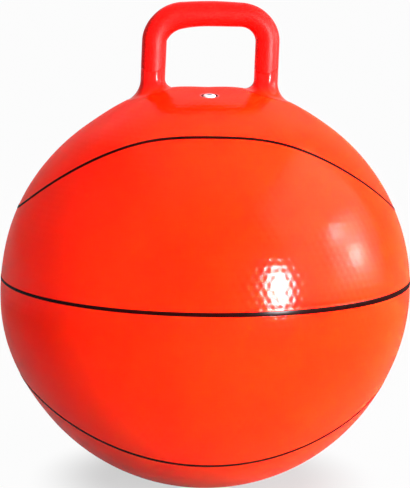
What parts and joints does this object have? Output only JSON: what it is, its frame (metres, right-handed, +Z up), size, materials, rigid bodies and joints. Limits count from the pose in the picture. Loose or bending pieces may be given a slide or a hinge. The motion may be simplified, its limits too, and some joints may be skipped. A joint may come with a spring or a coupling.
{
  "type": "hopper ball",
  "caption": "Inflated vinyl hopper ball with a hollow loop handle, seam-style lines and a push-in valve plug.",
  "frame": {"origin": "centre of the flat that the ball rests on", "axes": "+Z up along the ball's axis through the handle's middle, +X along the grip bar, -Y toward the valve"},
  "size_m": [0.4575, 0.4574, 0.5413],
  "materials": {
    "ball_vinyl": "glossy orange-red vinyl with a fine dimpled grain",
    "handle_vinyl": "red vinyl, fine grip grain over the loop and glossy at its feet",
    "seat_vinyl": "glossy red vinyl",
    "plug_plastic": "white moulded plastic",
    "line_ink": "black-brown printed ink with a slight gloss"
  },
  "bodies": {
    "ball": {"ball_shell": "ball_vinyl", "handle_loop": "handle_vinyl", "valve_seat": "seat_vinyl", "equator_line": "line_ink", "upper_line": "line_ink", "lower_line": "line_ink"},
    "plug": {"valve_plug": "plug_plastic"}
  },
  "joints": [
    {"name": "plug_pull", "type": "slide", "parent": "ball", "child": "plug", "axis": [0, -0.2113, 0.9774], "range_m": [0, 0.03]}
  ]
}
